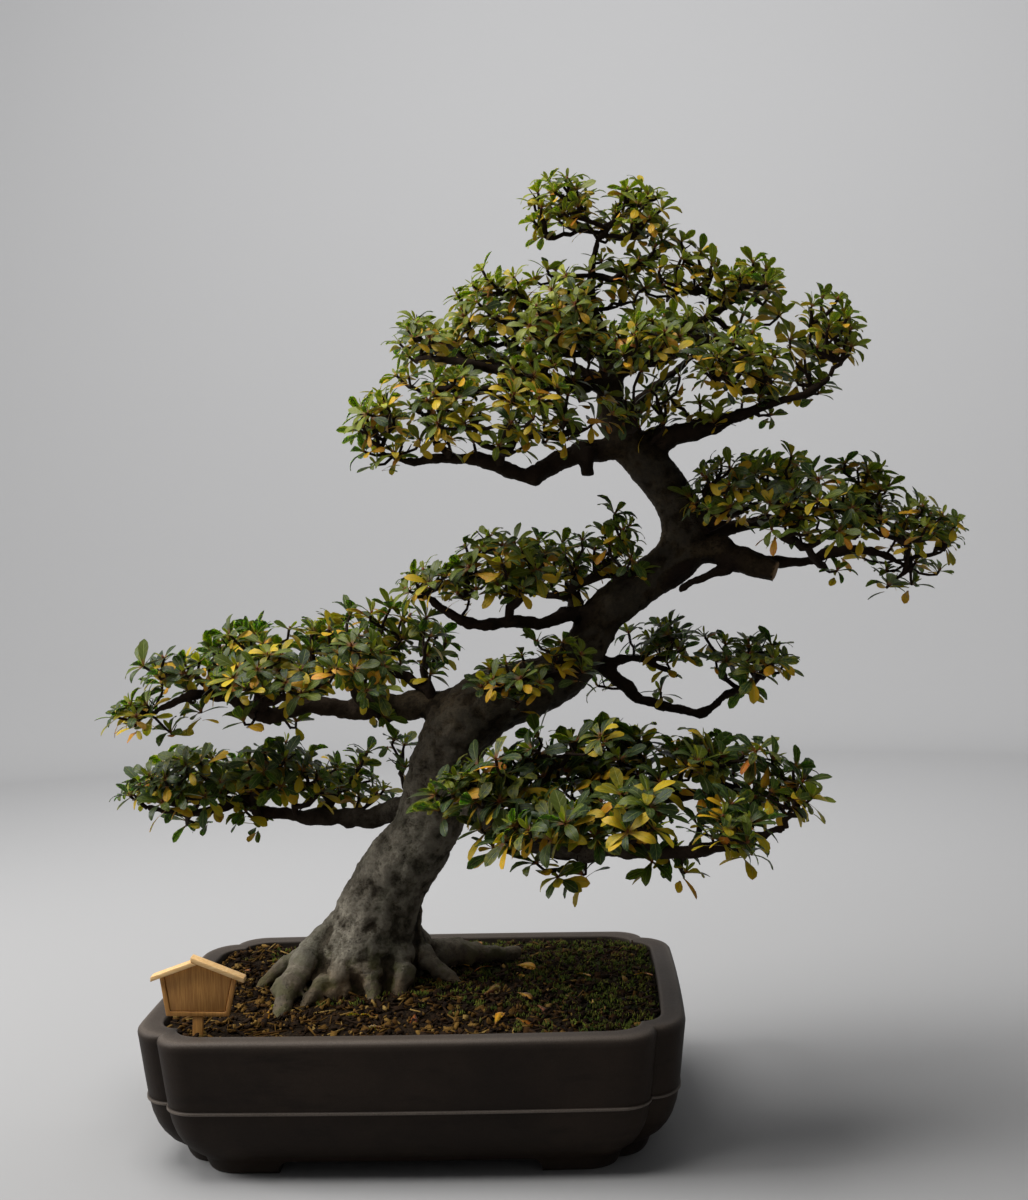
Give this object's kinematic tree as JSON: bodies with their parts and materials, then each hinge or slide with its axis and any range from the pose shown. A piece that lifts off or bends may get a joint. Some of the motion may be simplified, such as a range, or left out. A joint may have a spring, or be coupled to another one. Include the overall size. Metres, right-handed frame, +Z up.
{
  "type": "kaho satsuki azalea bonsai",
  "caption": "Satsuki azalea bonsai in informal upright style, with a curving trunk and layered leafy pads, in a rectangular unglazed pot with a blank name plate.",
  "frame": {"origin": "centre of the bottom of the object's box, level with the undersides of the pot's feet", "axes": "+Z up, -Y towards the side that the tree is viewed from, +X to the viewer's right, along the pot's long side"},
  "size_m": [0.811, 0.4054, 0.8839],
  "materials": {
    "stoneware": "unglazed dark grey-brown stoneware, matt",
    "screen": "black moulded mesh",
    "soil": "granular soil with chopped moss and bark bits",
    "bark": "smooth grey-brown bark with fine cracks and lichen",
    "foliage": "leathery glossy leaves, green with yellow and orange older ones, on brown twigs",
    "plate_wood": "pale honey-coloured planed wood"
  },
  "bodies": {
    "root": {"plate_board": "plate_wood", "plate_roof_left": "plate_wood", "plate_roof_right": "plate_wood", "plate_stake": "plate_wood", "plate_surround": "plate_wood", "pot": "stoneware", "screen_left": "screen", "screen_right": "screen", "soil": "soil", "spray_crown_1": "foliage", "spray_crown_10": "foliage", "spray_crown_11": "foliage", "spray_crown_12": "foliage", "spray_crown_13": "foliage", "spray_crown_14": "foliage", "spray_crown_15": "foliage", "spray_crown_16": "foliage", "spray_crown_17": "foliage", "spray_crown_2": "foliage", "spray_crown_3": "foliage", "spray_crown_4": "foliage", "spray_crown_5": "foliage", "spray_crown_6": "foliage", "spray_crown_7": "foliage", "spray_crown_8": "foliage", "spray_crown_9": "foliage", "spray_front_lower_1": "foliage", "spray_front_lower_2": "foliage", "spray_front_lower_3": "foliage", "spray_front_lower_4": "foliage", "spray_front_lower_5": "foliage", "spray_front_lower_6": "foliage", "spray_front_lower_7": "foliage", "spray_front_lower_8": "foliage", "spray_lower_left_1": "foliage", "spray_lower_left_2": "foliage", "spray_lower_left_3": "foliage", "spray_lower_left_4": "foliage", "spray_lower_left_5": "foliage", "spray_middle_left_1": "foliage", "spray_middle_left_2": "foliage", "spray_middle_left_3": "foliage", "spray_middle_left_4": "foliage", "spray_middle_right_1": "foliage", "spray_middle_right_2": "foliage", "spray_right_1": "foliage", "spray_right_2": "foliage", "spray_right_3": "foliage", "spray_right_4": "foliage", "spray_right_5": "foliage", "spray_trunk_front_1": "foliage", "spray_trunk_front_2": "foliage", "spray_upper_left_1": "foliage", "spray_upper_left_2": "foliage", "spray_upper_left_3": "foliage", "spray_upper_left_4": "foliage", "spray_upper_left_5": "foliage", "spray_upper_left_6": "foliage", "spray_upper_left_7": "foliage", "trunk": "bark"}
  },
  "joints": []
}
